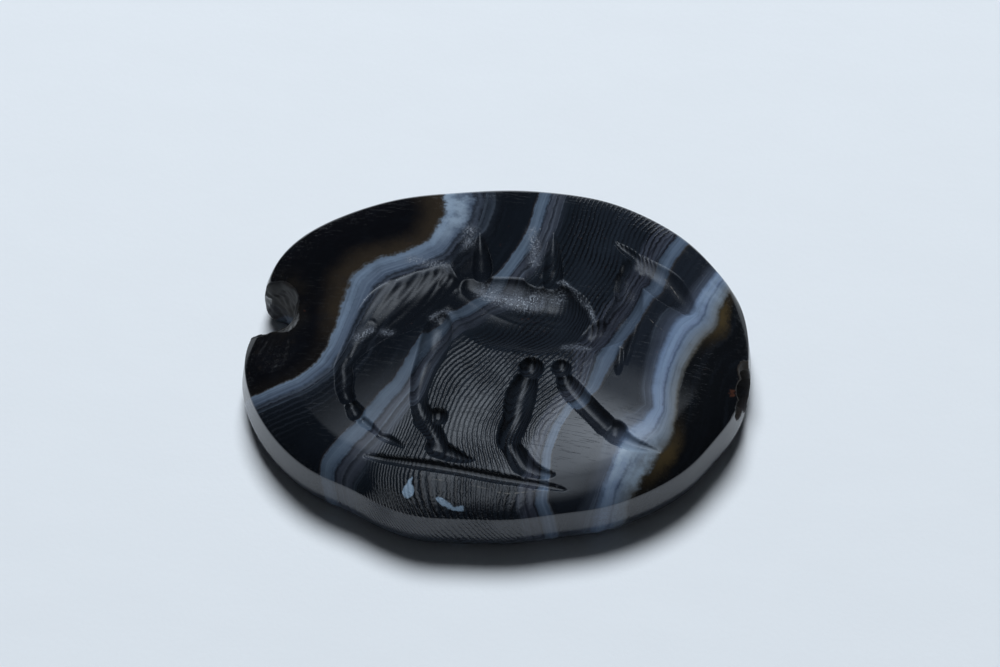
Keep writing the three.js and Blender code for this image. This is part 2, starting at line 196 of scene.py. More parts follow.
def groove(stations):
    """Balls (x, y, z, radius) of a round tool that moves along stations of x, y, half width and depth."""
    length = np.hypot(*np.diff(np.array(stations)[:, :2], axis=0).T).sum()
    shares = np.linspace(0, 1, max(4, int(length / BALL_STEP)))
    at = spline(stations, shares)
    run = shares * length + 3.7 * at[0, 0] + 1.9 * at[0, 1]
    shake = np.minimum(at[:, 2] * 0.08, 0.03)
    at[:, 0] += shake * np.sin(run * 3.3 + 1.2 * np.sin(run * 2.1))
    at[:, 1] += shake * np.sin(run * 2.9 + 2.0)
    at[:, 2] *= 1 + 0.05 * np.sin(run * 3.7 + 0.7) + 0.004 * np.sin(run * 13.0)
    at[:, 3] *= 1 + 0.05 * np.sin(run * 4.9) + 0.003 * np.sin(run * 17.0 + 1.0)
    depth = np.maximum(at[:, 3], 0.03)
    radius = tool_radius(np.maximum(at[:, 2], 0.03), depth)
    height = face_height(at[:, 0], at[:, 1]) - depth + radius
    return np.column_stack([at[:, 0], at[:, 1], height, radius])


def pit(x, y, half_width, depth):
    radius = tool_radius(half_width, depth)
    height = face_height(np.array(x), np.array(y)) - depth + radius
    return np.array([[x, y, float(height), float(radius)]])


def tooled(stations):
    """Balls of one cut."""
    return pit(*stations[0]) if len(stations) == 1 else groove(stations)


# The picture's cuts. They are the CAD model's, but the trunk, humps, legs and ground line differ slightly.
# Each is a run of stations, which are x, y, half width and depth at the face. A single one is a pit.
FAR_THIGH = [[-1.95, 1.5, 0.8, 0.28], [-3.0, 0.76, 0.96, 0.28], [-3.9, -0.2, 0.88, 0.24],
             [-4.5, -1.3, 0.42, 0.2]]

BODY_CUTS = [
    [[-1.3, 1.1, 0.8, 0.3], [-0.2, 0.45, 1.1, 0.38], [0.9, 0.42, 1.35, 0.45], [1.95, 0.7, 1.33, 0.48]],
    [[-1.1, 1.5, 0.5, 0.34], [-0.2, 1.2, 0.76, 0.48], [0.8, 1.12, 0.9, 0.6], [1.7, 1.18, 0.9, 0.62],
     [2.3, 1.05, 0.7, 0.52]],
    [[-1.42, 3.95, 0.05, 0.04], [-1.52, 3.2, 0.32, 0.13], [-1.5, 2.6, 0.42, 0.18], [-1.4, 2.1, 0.42, 0.2]],
    [[-1.17, 3.75, 0.04, 0.04], [-1.02, 3.1, 0.19, 0.26], [-0.92, 2.5, 0.25, 0.34],
     [-0.85, 2.1, 0.27, 0.34]],
    [[0.8, 4.3, 0.06, 0.03], [0.85, 3.4, 0.34, 0.12], [0.98, 2.6, 0.42, 0.18], [1.05, 2.15, 0.42, 0.2]],
    [[1.27, 4.18, 0.04, 0.04], [1.36, 3.4, 0.17, 0.24], [1.47, 2.7, 0.25, 0.34], [1.52, 2.2, 0.27, 0.34]],
    [[3.2, 0.15, 0.5, 0.26], [3.85, 0.55, 0.54, 0.28], [4.16, 1.5, 0.5, 0.28], [4.15, 2.4, 0.52, 0.26],
     [4.25, 3.3, 0.5, 0.24]],
    [[4.4, 3.4, 0.55, 0.24], [5.05, 2.98, 0.64, 0.3], [5.7, 2.55, 0.52, 0.28], [6.12, 2.12, 0.32, 0.18]],
    [[3.38, 4.22, 0.05, 0.04], [3.75, 3.97, 0.17, 0.13], [4.2, 3.65, 0.22, 0.16]],
]

LEG_CUTS = [
    [*FAR_THIGH, [-4.7, -2.1, 0.3, 0.2], [-4.6, -2.8, 0.28, 0.2], [-4.4, -3.3, 0.24, 0.18]],
    [[-4.2, -3.62, 0.22, 0.18], [-4.05, -3.85, 0.26, 0.2]],
    [[-3.75, -4.1, 0.14, 0.12], [-3.4, -4.3, 0.11, 0.1], [-3.15, -4.45, 0.06, 0.06]],
    [[-3.15, -4.52, 0.05, 0.05], [-2.75, -4.62, 0.13, 0.13], [-2.25, -4.82, 0.04, 0.04]],
    [[-1.85, -0.1, 0.34, 0.28], [-1.78, -1.0, 0.42, 0.32], [-2.0, -2.0, 0.32, 0.28],
     [-2.05, -3.0, 0.28, 0.24], [-1.8, -3.6, 0.33, 0.26]],
    [[-1.3, -3.62, 0.3, 0.26]],
    [[-1.7, -3.8, 0.38, 0.24], [-1.35, -4.25, 0.28, 0.22], [-1.05, -4.7, 0.3, 0.24]],
    [[-1.2, -4.74, 0.3, 0.24], [-0.75, -4.86, 0.27, 0.22], [-0.3, -4.92, 0.17, 0.14],
     [0.05, -4.92, 0.05, 0.05]],
    [[1.43, -1.4, 0.4, 0.34]],
    [[1.36, -1.95, 0.4, 0.34], [1.27, -2.6, 0.47, 0.4], [1.2, -3.4, 0.45, 0.38], [1.12, -4.1, 0.36, 0.3]],
    [[1.22, -4.25, 0.3, 0.26], [1.7, -4.82, 0.34, 0.24], [2.25, -5.02, 0.24, 0.16],
     [2.75, -4.95, 0.05, 0.05]],
    [[2.42, -1.22, 0.32, 0.22]],
    [[2.62, -1.68, 0.28, 0.2], [3.1, -2.12, 0.37, 0.3], [4.12, -3.0, 0.35, 0.3]],
    [[4.5, -3.12, 0.4, 0.34]],
    [[4.6, -3.25, 0.34, 0.24], [5.2, -3.42, 0.22, 0.15], [6.0, -3.45, 0.04, 0.04]],
    [[-3.45, -5.24, 0.05, 0.05], [-2.6, -5.3, 0.14, 0.15], [0, -5.38, 0.15, 0.17], [2.2, -5.36, 0.13, 0.14],
     [3.15, -5.32, 0.05, 0.05]],
]

STROKE_WIDTH, STROKE_DEPTH = 1.5, 0.42  # shares of the fine strokes' half widths and depths
THROAT_HAIR = [  # from x, y to x, y
    (4.64, 1.5, 4.43, -0.4), (4.5, 0.35, 4.44, -0.52), (4.18, -0.1, 4.26, -0.98),
]


def scored(stations, under):
    """Balls of a fine tool that scores the floor of broader cuts. Stations are x, y, half width and depth
    below that floor."""
    length = np.hypot(*np.diff(np.array(stations)[:, :2], axis=0).T).sum()
    at = spline(stations, np.linspace(0, 1, max(4, int(length / BALL_STEP))))
    depth = np.maximum(at[:, 3] * STROKE_DEPTH, 0.01)
    radius = tool_radius(np.maximum(at[:, 2] * STROKE_WIDTH, 0.03), depth)
    floor = np.minimum(face_height(at[:, 0], at[:, 1]), lowest(under, at[:, 0], at[:, 1]))
    return np.column_stack([at[:, 0], at[:, 1], floor - depth + radius, radius])


def fine_cuts(under):
    strokes = [  # hair of the hindquarters
        [[-3.75, 1.15, 0.05, 0.02], [-4.1, 0.4, 0.13, 0.09], [-4.45, -0.5, 0.1, 0.08],
         [-4.65, -1.2, 0.04, 0.02]],
        [[-3.35, 1.2, 0.04, 0.02], [-3.7, 0.55, 0.08, 0.06], [-4.0, -0.1, 0.05, 0.03]],
        [[-2.85, 1.62, 0.04, 0.02], [-3.3, 0.7, 0.11, 0.09], [-3.85, -0.25, 0.1, 0.08],
         [-4.3, -1.05, 0.04, 0.02]],
        [[-2.5, 1.75, 0.04, 0.02], [-2.95, 0.85, 0.07, 0.06], [-3.45, 0.1, 0.05, 0.04]],
        [[-2.2, 1.9, 0.04, 0.02], [-2.75, 0.75, 0.1, 0.09], [-3.3, -0.15, 0.11, 0.09],
         [-3.95, -0.85, 0.04, 0.02]],
        [[-1.95, 1.8, 0.04, 0.02], [-2.4, 0.8, 0.06, 0.06], [-2.85, 0.15, 0.06, 0.05],
         [-3.3, -0.4, 0.03, 0.02]],
        [[-1.75, 1.7, 0.04, 0.02], [-2.2, 0.6, 0.08, 0.07], [-2.75, -0.2, 0.1, 0.08],
         [-3.4, -0.75, 0.04, 0.02]],
        [[-1.55, 1.3, 0.04, 0.02], [-2.0, 0.45, 0.07, 0.06], [-2.5, -0.15, 0.06, 0.04]],
        [[-4.15, -0.35, 0.04, 0.02], [-4.4, -1.0, 0.08, 0.06], [-4.55, -1.7, 0.05, 0.04]],
        [[-3.75, -0.75, 0.04, 0.02], [-4.1, -1.15, 0.07, 0.05], [-4.4, -1.6, 0.04, 0.03]],
    ]
    strokes += [  # humps and neck
        [[-1.6, 3.3, 0.04, 0.015], [-1.65, 2.6, 0.07, 0.04], [-1.5, 1.9, 0.05, 0.03]],
        [[-1.3, 3.4, 0.04, 0.015], [-1.3, 2.7, 0.07, 0.04], [-1.15, 2.0, 0.05, 0.03]],
        [[0.7, 3.8, 0.04, 0.015], [0.78, 3.1, 0.07, 0.035], [0.95, 2.4, 0.05, 0.03]],
        [[1.0, 3.7, 0.04, 0.015], [1.05, 3.0, 0.06, 0.035], [1.2, 2.3, 0.05, 0.03]],
        [[3.95, 0.7, 0.04, 0.02], [4.3, 1.5, 0.08, 0.05], [4.3, 2.5, 0.07, 0.05], [4.4, 3.2, 0.04, 0.02]],
        [[3.7, 1.0, 0.04, 0.02], [3.95, 1.8, 0.06, 0.04], [3.95, 2.7, 0.04, 0.02]],
    ]
    strokes += [  # mark of the tool along the near hind leg
        [[-2.0, -0.2, 0.05, 0.02], [-1.95, -1.1, 0.09, 0.05], [-2.1, -2.2, 0.07, 0.04],
         [-2.1, -3.0, 0.04, 0.02]],
    ]
    cuts = [scored(stroke, under) for stroke in strokes]
    for x, y, end_x, end_y in THROAT_HAIR:
        middle = [(x + end_x) / 2, (y + end_y) / 2, 0.1, 0.13]
        cuts.append(groove([[x, y, 0.06, 0.06], middle, [end_x, end_y, 0.06, 0.07]]))
    return cuts


def lowest(cuts, x, y):
    """Height of the lowest of the balls' undersides at each place, or NOTHING where there is none."""
    low = np.full(len(x), NOTHING)
    for cut in cuts:
        reach = cut[:, 3].max()
        near = np.where((x > cut[:, 0].min() - reach) & (x < cut[:, 0].max() + reach)
                        & (y > cut[:, 1].min() - reach) & (y < cut[:, 1].max() + reach))[0]
        if not len(near):
            continue
        best = np.full(len(near), NOTHING)
        for ball in cut:
            away = (x[near] - ball[0]) ** 2 + (y[near] - ball[1]) ** 2
            inside = away < ball[3] ** 2
            under = ball[2] - np.sqrt(np.maximum(ball[3] ** 2 - away, 0))
            best = np.where(inside, np.minimum(best, under), best)
        low[near] = smooth_min(low[near], best, RIM_WEAR)
    return low


def smooth_min(one, other, width):
    share = np.clip(0.5 + 0.5 * (other - one) / width, 0, 1)
    return other + (one - other) * share - width * share * (1 - share)


def waves(places, length, count, seed):
    """Smooth unevenness of about unit size whose waves are about this long."""
    draw = np.random.default_rng(seed)
    total = np.zeros(len(places))
    for _ in range(count):
        way = draw.normal(size=3)
        way *= draw.uniform(0.7, 1.5) * 2 * math.pi / length / np.linalg.norm(way)
        total += np.sin(places @ way + draw.uniform(0, 2 * math.pi))
    return total / math.sqrt(count / 2)


def scar_height(x, y):
    """Underside of the flake scars, with the ripples that spread from the break."""
    low = np.full(len(x), NOTHING)
    spread = np.hypot(x - BREAK_X, y - BREAK_Y)
    turn = np.arctan2(y - BREAK_Y, x - BREAK_X)
    rays = 0.006 * np.sin(turn * 17 + 3 * np.sin(5 * turn) + 2 * spread) * np.clip(spread, 0, 1)
    rays += 0.005 * np.sin(turn * 41 + 4 * np.sin(3 * turn))
    for i, (cx, cy, cz, radius) in enumerate(FLAKE_SCARS):
        away = (x - cx) ** 2 + (y - cy) ** 2
        under = cz - np.sqrt(np.maximum(radius ** 2 - away, 0))
        phase = 2 * math.pi * spread / RIPPLE_LENGTH + 1.5 * i
        ripple = 0.004 * np.sin(phase + 1.9 * np.sin(3 * turn) + 1.3 * np.sin(7 * turn))
        low = np.where(away < radius ** 2, np.minimum(low, under + ripple + rays), low)
    return low


def surface(x, y):
    """Height of the engraved and chipped upper surface."""
    carved = smooth_min(face_height(x, y), lowest(CUTS, x, y), RIM_WEAR)
    return smooth_min(carved, scar_height(x, y), SCAR_WEAR)


CUTS = [tooled(stations) for stations in BODY_CUTS + LEG_CUTS]
CUTS += fine_cuts(CUTS)


def plan_points():
    """Places for the upper surface's points, close together where it is cut and wider apart elsewhere."""
    rows = int(2 * HALF_WIDTH / (FINE * math.sqrt(0.75))) + 40
    columns = int(2 * HALF_LENGTH / FINE) + 40
    j, i = np.mgrid[-rows // 2:rows // 2, -columns // 2:columns // 2]
    x = (i + 0.5 * (j % 2)) * FINE
    y = j * FINE * math.sqrt(0.75)
    x, y, i, j = x.ravel(), y.ravel(), i.ravel(), j.ravel()
    keep = inset_of(x, y) > SEAM_INSET + 0.04
    x, y, i, j = x[keep], y[keep], i[keep], j[keep]
    close = np.zeros(len(x), bool)
    for cut in CUTS:
        sink = face_height(cut[:, 0], cut[:, 1]) - (cut[:, 2] - cut[:, 3])
        mouth = np.sqrt(np.maximum(cut[:, 3] ** 2 - (cut[:, 3] - sink) ** 2, 0))
        for (cx, cy), wide in zip(cut[::3, :2], mouth[::3]):
            close |= np.hypot(x - cx, y - cy) < wide + CUT_MARGIN
    close |= np.hypot(x - NOTCH_MIDDLE, y) < NOTCH_REACH
    sparse = (j % 2 == 0) & (i % 2 == 0)
    keep = close | sparse
    return np.column_stack([x[keep], y[keep]])


def ring(inset):
    angle = np.arange(OUTLINE_SIDES) / OUTLINE_SIDES * 2 * math.pi
    radius = girth_radius(angle) - inset
    return np.column_stack([radius * np.cos(angle), radius * np.sin(angle)])


def triangulated(rim, inner):
    """Places and Delaunay triangles inside a closed rim. The rim's points come first."""
    places = [Vector(p) for p in np.vstack([rim, inner])]
    edges = [(k, (k + 1) % len(rim)) for k in range(len(rim))]
    made = delaunay_2d_cdt(places, edges, [], 1, 1e-7)
    order = np.array([sources[0] for sources in made[3]])
    return np.vstack([rim, inner]), order[np.array(made[2])]


def stone_mesh():
    """Vertices and triangles of the engraved stone without its through cuts, closed."""
    top_plan, top_triangles = triangulated(ring(SEAM_INSET), plan_points())
    vertices = [np.column_stack([top_plan, surface(*top_plan.T)])]
    triangles = [top_triangles]
    offset = len(top_plan)
    levels = [(inset, None) for inset in RING_INSETS]
    for k in range(LOWER_LEVELS):
        turn = (1 - k / (LOWER_LEVELS - 1)) * math.pi / 2
        levels.append((BASE_INSET * (1 - math.sin(turn)), GIRTH_HEIGHT * (1 - math.cos(turn))))
    above = np.arange(OUTLINE_SIDES)
    for inset, height in levels:
        plan = ring(inset)
        if height is None:
            z = np.maximum(surface(*plan.T), GIRTH_HEIGHT + 0.01)
        else:
            z = np.full(len(plan), height)
        below = np.arange(OUTLINE_SIDES) + offset
        vertices.append(np.column_stack([plan, z]))
        after, after_above = np.roll(below, -1), np.roll(above, -1)
        triangles.append(np.column_stack([above, below, after]))
        triangles.append(np.column_stack([above, after, after_above]))
        offset += OUTLINE_SIDES
        above = below
    span = slice(-UNDERSIDE_COUNT, UNDERSIDE_COUNT + 1)
    grid = np.mgrid[span, span].reshape(2, -1).T * UNDERSIDE_STEP
    inner = grid[inset_of(*grid.T) > BASE_INSET + 0.15]
    _, base_triangles = triangulated(ring(BASE_INSET), inner)
    renumber = np.concatenate([above, np.arange(len(inner)) + offset])
    vertices.append(np.column_stack([inner, np.zeros(len(inner))]))
    triangles.append(renumber[base_triangles][:, ::-1])
    return np.vstack(vertices), np.vstack(triangles)


def mesh_object(name, vertices, faces):
    mesh = bpy.data.meshes.new(name)
    mesh.from_pydata(vertices.tolist(), [], faces.tolist())
    mesh.validate()
    made = bpy.data.objects.new(name, mesh)
    bpy.context.collection.objects.link(made)
    return made


def tube(sections):
    """Closed mesh through sections that all have the same number of points, capped by fans."""
    count = len(sections[0])
    vertices = np.vstack(sections + [sections[0].mean(0)[None], sections[-1].mean(0)[None]])
    faces = []
    k = np.arange(count)
    after = (k + 1) % count
    for s in range(len(sections) - 1):
        a, b = s * count, (s + 1) * count
        faces += [np.column_stack([a + k, a + after, b + after]),
                  np.column_stack([a + k, b + after, b + k])]
    first, last = len(vertices) - 2, len(vertices) - 1
    end = (len(sections) - 1) * count
    faces += [np.column_stack([np.full(count, first), after, k])]
    faces += [np.column_stack([np.full(count, last), end + k, end + after])]
    return vertices, np.vstack(faces)


def bore():
    """The long drilled hole, a little uneven, from outside one end of the stone to outside the other."""
    sections = []
    turn = np.arange(BORE_SIDES) / BORE_SIDES * 2 * math.pi
    for x in np.arange(-BORE_REACH, BORE_REACH + 0.01, BORE_STEP):
        worn = DRILL_RADIUS * (1 - 0.012 * np.sin(x * 9) - 0.01 * np.sin(3 * turn + x))
        y, z = DRILL_OFFSET + worn * np.cos(turn), DRILL_HEIGHT + worn * np.sin(turn)
        sections.append(np.column_stack([np.full(BORE_SIDES, x), y, z]))
    return tube(sections)


def notch():
    """The channel of the broken end, with uneven walls, from under the stone to above it."""
    bend = NOTCH_END - NOTCH_HALF_WIDTH
    outside = -HALF_LENGTH - 1
    low, high = DRILL_OFFSET - NOTCH_HALF_WIDTH, DRILL_OFFSET + NOTCH_HALF_WIDTH
    lower = np.column_stack([np.linspace(outside, bend, NOTCH_SIDES), np.full(NOTCH_SIDES, low)])
    turn = np.linspace(-math.pi / 2, math.pi / 2, NOTCH_END_SIDES)
    end_x, end_y = bend + NOTCH_HALF_WIDTH * np.cos(turn), DRILL_OFFSET + NOTCH_HALF_WIDTH * np.sin(turn)
    flared = np.linspace(high, high + NOTCH_FLARE, NOTCH_SIDES)
    upper = np.column_stack([np.linspace(bend, outside, NOTCH_SIDES), flared])
    plan = np.vstack([lower[:-1], np.column_stack([end_x, end_y]), upper[1:]])
    along = np.roll(plan, -1, axis=0) - np.roll(plan, 1, axis=0)
    out = np.column_stack([along[:, 1], -along[:, 0]]) / np.hypot(*along.T)[:, None]
    sections = []
    for z in np.arange(-0.3, THICKNESS + 0.4, NOTCH_STEP):
        places = np.column_stack([plan, np.full(len(plan), z)])
        rough = 0.035 * waves(places, 0.9, 9, 3) + 0.014 * waves(places, 0.3, 9, 4)
        rough += 0.008 * np.sin(2 * math.pi * np.hypot(places[:, 0] + 6.9, z - 2.0) / 0.33)
        rough = np.clip(rough, -0.06, 0.05)
        sections.append(np.column_stack([plan + out * rough[:, None], np.full(len(plan), z)]))
    return tube(sections)


def chip(x, y, z, radius):
    """Ball with shell-like ripples, for a small break at the hole's mouth."""
    sections = []
    turn = np.arange(CHIP_SIDES) / CHIP_SIDES * 2 * math.pi
    for k in range(1, CHIP_LEVELS):
        tilt = k / CHIP_LEVELS * math.pi
        away = radius * (1 + 0.02 * np.sin(tilt * 40) + 0.02 * np.sin(turn * 11 + 3 * tilt))
        reach = away * math.sin(tilt)
        section = [x + reach * np.cos(turn), y + reach * np.sin(turn), z - away * math.cos(tilt)]
        sections.append(np.column_stack(section))
    return tube(sections)


def cut_away(body, name, shape):
    """Takes a closed shape away from the body's mesh."""
    cutter = mesh_object(name, *shape)
    modifier = body.modifiers.new(name, "BOOLEAN")
    modifier.operation = "DIFFERENCE"
    modifier.solver = "MANIFOLD"
    modifier.object = cutter
    bpy.context.view_layer.update()
    graph = bpy.context.evaluated_depsgraph_get()
    made = bpy.data.meshes.new_from_object(body.evaluated_get(graph))
    body.modifiers.clear()
    old = body.data
    body.data = made
    bpy.data.meshes.remove(old)
    bpy.data.objects.remove(cutter)


def coordinates(mesh):
    flat = np.empty(len(mesh.vertices) * 3)
    mesh.vertices.foreach_get("co", flat)
    return flat.reshape(-1, 3)


def wear_rims(mesh):
    """Rounds the sharp rims that the through cuts leave."""
    mesh.update()
    normals = np.empty(len(mesh.polygons) * 3)
    mesh.polygons.foreach_get("normal", normals)
    normals = normals.reshape(-1, 3)
    ends = np.empty(len(mesh.edges) * 2, int)
    mesh.edges.foreach_get("vertices", ends)
    ends = ends.reshape(-1, 2)
    loop_edge = np.empty(len(mesh.loops), int)
    mesh.loops.foreach_get("edge_index", loop_edge)
    totals = np.empty(len(mesh.polygons), int)
    mesh.polygons.foreach_get("loop_total", totals)
    loop_face = np.repeat(np.arange(len(mesh.polygons)), totals)
    order = np.argsort(loop_edge, kind="stable")
    edge_sorted, face_sorted = loop_edge[order], loop_face[order]
    pair = np.where(edge_sorted[1:] == edge_sorted[:-1])[0]
    turn = (normals[face_sorted[pair]] * normals[face_sorted[pair + 1]]).sum(1)
    sharp = edge_sorted[pair[turn < math.cos(SHARP_TURN)]]
    places = coordinates(mesh)
    seeds = np.unique(ends[sharp])
    region = (places[:, 0] < WORN_ENDS[0]) | (places[:, 0] > WORN_ENDS[1])
    seeds = seeds[region[seeds]]
    weight = np.zeros(len(places))
    weight[seeds] = 1
    for _ in range(WEAR_REACH):
        spread = np.maximum(weight[ends[:, 0]], weight[ends[:, 1]]) * WEAR_FADE
        np.maximum.at(weight, ends[:, 0], spread)
        np.maximum.at(weight, ends[:, 1], spread)
    weight[~region] = 0
    degree = np.bincount(ends.ravel(), minlength=len(places))[:, None]
    for _ in range(WEAR_ROUNDS):
        total = np.zeros_like(places)
        np.add.at(total, ends[:, 0], places[ends[:, 1]])
        np.add.at(total, ends[:, 1], places[ends[:, 0]])
        places += weight[:, None] * 0.5 * (total / np.maximum(degree, 1) - places)
    mesh.vertices.foreach_set("co", places.ravel())
    mesh.update()


# The agate's four pale bands, from left to right. A band's stations are x, y and half width on the face,
# from its lower end up, and lean is how far it moves to the left for each mm of depth.
BANDS = {
    "a": dict(lean=0.9, stations=[
        [-8.3, -4.3, 0.2], [-7.4, -3.75, 0.2], [-6.69, -3.4, 0.2], [-5.9, -2.85, 0.2], [-5.42, -2.15, 0.22],
        [-5.18, -1.35, 0.24], [-5.08, -0.7, 0.26], [-4.96, 0.0, 0.3], [-4.82, 1.17, 0.37],
        [-4.4, 1.82, 0.36], [-3.33, 2.42, 0.32], [-2.66, 2.95, 0.32], [-2.3, 3.75, 0.36], [-2.0, 4.4, 0.42],
        [-1.85, 5.3, 0.46], [-1.7, 7.0, 0.5]]),
    "b": dict(lean=-0.2, stations=[
        [-5.3, -6.9, 0.27], [-4.85, -5.95, 0.27], [-4.78, -5.55, 0.27], [-4.28, -5.0, 0.28],
        [-3.75, -4.28, 0.29], [-3.25, -3.4, 0.27], [-2.7, -2.53, 0.24], [-2.4, -1.5, 0.21],
        [-2.15, -0.85, 0.21], [-1.66, -0.19, 0.21], [-0.95, 0.77, 0.21], [-0.35, 1.5, 0.21],
        [0.0, 2.1, 0.21], [0.28, 2.85, 0.21], [0.52, 3.75, 0.21], [0.62, 4.5, 0.21], [0.6, 5.8, 0.21],
        [0.6, 7.0, 0.21]]),
    "c": dict(lean=-0.1, stations=[
        [3.3, -7.2, 0.22], [2.77, -6.25, 0.21], [2.42, -5.8, 0.19], [2.47, -5.1, 0.16], [2.42, -4.2, 0.14],
        [2.6, -3.37, 0.14], [2.93, -2.54, 0.14], [3.55, -1.8, 0.17], [3.72, -1.1, 0.22], [3.83, -0.6, 0.26],
        [4.12, 0.38, 0.24], [4.54, 1.49, 0.22], [4.86, 2.49, 0.24], [5.2, 3.98, 0.22], [5.45, 4.86, 0.22],
        [5.8, 6.6, 0.25]]),
    "d": dict(lean=0.1, stations=[
        [5.1, -7.2, 0.95], [5.05, -6.0, 0.7], [4.93, -5.05, 0.45], [5.13, -4.4, 0.52], [5.42, -3.45, 0.66],
        [5.86, -2.75, 0.55], [6.02, -2.0, 0.38], [5.9, -1.2, 0.43], [5.96, -0.2, 0.44], [6.2, 0.75, 0.52],
        [6.36, 1.2, 0.54], [6.75, 1.75, 0.5], [6.82, 2.45, 0.4], [7.15, 3.6, 0.36], [7.5, 4.6, 0.36],
        [7.9, 5.6, 0.36]]),
}
BAND_FACE = 3.0  # height at which the stations were read

# Fine parallel lines between the second and third band: place, direction in degrees and spacing
GRAIN = [
    [-0.4, -1.15, 43, 0.154], [-0.45, -1.7, 39, 0.153], [-1.2, -1.65, 56, 0.142], [-1.55, -2.4, 72, 0.125],
    [-1.55, -2.9, 79, 0.122], [-0.3, -2.55, 55, 0.155], [0.4, -2.25, 67, 0.153], [-0.35, -3.25, 76, 0.15],
    [0.3, -3.45, 76, 0.153], [-0.9, -3.65, 61, 0.137], [0.5, -4.4, 101, 0.144], [-0.45, -4.4, 95, 0.15],
    [1.1, -4.5, 121, 0.132], [-1.8, -4.75, 67, 0.122], [0.05, -5.3, 90, 0.147], [2.1, 0.9, 74, 0.15],
    [1.2, -0.35, 57, 0.156], [2.75, 1.55, 76, 0.152], [2.65, 5.5, 100, 0.146], [2.25, 4.3, 89, 0.141],
    [3.25, 3.55, 97, 0.147], [2.95, 2.8, 77, 0.143],
]
GRAIN_REACH = 1.3
GRAIN_LEAN = -0.7

# Where the cut surface is frosted paler and carries painted sheen, painted glints and one painted highlight
# line: places the patch runs through, its spread and how strong it is
FROST_AND_HIGHLIGHTS = [
    ([[-0.65, 1.5], [0.2, 1.38], [1.2, 1.5]], 0.24, 1.0), ([[1.2, 1.5], [1.9, 1.75]], 0.2, 0.5),
    ([[0.55, 4.2], [0.72, 3.5], [0.8, 2.9]], 0.16, 0.7), ([[-1.5, 3.9], [-1.5, 3.4]], 0.2, 0.5),
    ([[-3.3, 2.3], [-2.6, 2.2], [-2.0, 2.15]], 0.16, 0.45), ([[-4.5, -0.95], [-4.1, -0.5]], 0.12, 0.6),
    ([[-3.65, -0.6], [-3.45, -0.65]], 0.13, 0.6), ([[-2.1, 0.1], [-1.7, 0.25]], 0.14, 0.5),
    ([[2.4, -0.35], [3.1, -0.25]], 0.14, 0.6),
    # the lit rim at the trunk's right end: a painted highlight line
    ([[1.75, 2.3], [2.35, 1.85], [2.9, 1.35], [3.2, 0.75]], 0.06, 0.7),
]

SPOT_X, SPOT_Y, SPOT_RADIUS = -1.86, -6.2, 0.19  # the drop of the first pale spot
SPOT_LINES = [  # the drop's tail and the second spot, as x, y and half width
    [[-1.87, -6.05, 0.08], [-1.85, -5.9, 0.06], [-1.78, -5.75, 0.02]],
    [[-0.86, -6.3, 0.07], [-0.62, -6.38, 0.08], [-0.3, -6.46, 0.04], [-0.05, -6.42, 0.07]],
]
SCRATCHES = [
    [[4.84, 1.38, 0.012], [5.15, 1.15, 0.014], [5.49, 0.95, 0.01]],
    [[5.17, 3.25, 0.012], [5.42, 3.01, 0.016], [5.73, 2.61, 0.012]],
    [[-1.6, -5.84, 0.012], [-0.36, -5.71, 0.014], [1.28, -5.83, 0.014], [2.55, -5.48, 0.012]],
]
STAIN = 8.1, -0.62, 2.35, 0.3  # x, y, z and reach

# Colours of the ground from the left end to the right: share of the way, display colour and cover
GROUND_COLOURS = [
    (0.0, (7, 8, 12), 1), (0.15, (7, 8, 12), 1), (0.196, (14, 13, 14), 1), (0.205, (18, 23, 30), 1),
    (0.3, (12, 16, 22), 1), (0.4, (15, 20, 27), 1), (0.42, (18, 24, 31), 1), (0.52, (26, 32, 40), 1),
    (0.59, (22, 28, 36), 1), (0.61, (24, 29, 37), 1), (0.7, (25, 30, 38), 1), (0.79, (28, 31, 37), 1),
    (0.82, (12, 14, 17), 1), (1.0, (13, 16, 21), 1),
]

# Colours across each band: half widths from its middle, display colour and cover
BAND_COLOURS = {
    "a": [
        (-1.3, (50, 47, 43), 0), (-1.05, (60, 62, 64), 0.8), (-0.88, (90, 104, 122), 1),
        (-0.5, (98, 114, 134), 1), (0.0, (80, 93, 111), 1), (0.7, (70, 82, 100), 1),
        (1.0, (62, 72, 88), 0.9), (1.25, (40, 46, 56), 0.6), (1.5, (66, 74, 88), 0.75),
        (1.8, (30, 34, 42), 0.6), (2.2, (52, 60, 72), 0.5), (2.6, (32, 38, 46), 0.3),
        (3.2, (30, 34, 42), 0),
    ],
    "b": [
        (-1.4, (26, 24, 25), 0), (-1.1, (30, 28, 30), 0.9), (-0.85, (66, 79, 95), 1),
        (0.0, (80, 94, 111), 1), (0.7, (66, 79, 96), 1), (1.05, (28, 31, 40), 0.9),
        (1.35, (56, 61, 73), 0.9), (1.9, (62, 67, 78), 0.9), (2.1, (34, 38, 46), 0.85),
        (2.5, (60, 65, 76), 0.85), (3.2, (52, 57, 68), 0.75), (3.5, (30, 35, 43), 0.6),
        (4.3, (36, 41, 50), 0),
    ],
    "c": [
        (-4.8, (36, 41, 51), 0), (-4.2, (50, 55, 67), 0.75), (-3.2, (58, 62, 74), 0.85),
        (-2.9, (34, 36, 46), 0.85), (-2.5, (57, 61, 73), 0.9), (-1.7, (52, 57, 70), 0.9),
        (-1.35, (20, 20, 26), 0.95), (-1.1, (60, 72, 88), 1), (-0.2, (82, 97, 117), 1),
        (0.7, (72, 86, 105), 1), (1.0, (44, 42, 42), 0.9), (1.3, (28, 29, 31), 0.4), (1.8, (24, 27, 31), 0),
    ],
    "d": [
        (-2.3, (38, 43, 52), 0), (-1.8, (50, 56, 67), 0.8), (-1.25, (60, 68, 83), 0.9),
        (-0.95, (96, 114, 141), 1), (-0.6, (112, 131, 157), 1), (-0.3, (104, 120, 146), 1),
        (-0.15, (70, 83, 105), 1), (0.0, (98, 113, 134), 1), (0.45, (102, 112, 124), 1),
        (0.85, (88, 91, 93), 1), (1.0, (56, 54, 48), 0.8), (1.15, (34, 34, 34), 0),
    ],
}


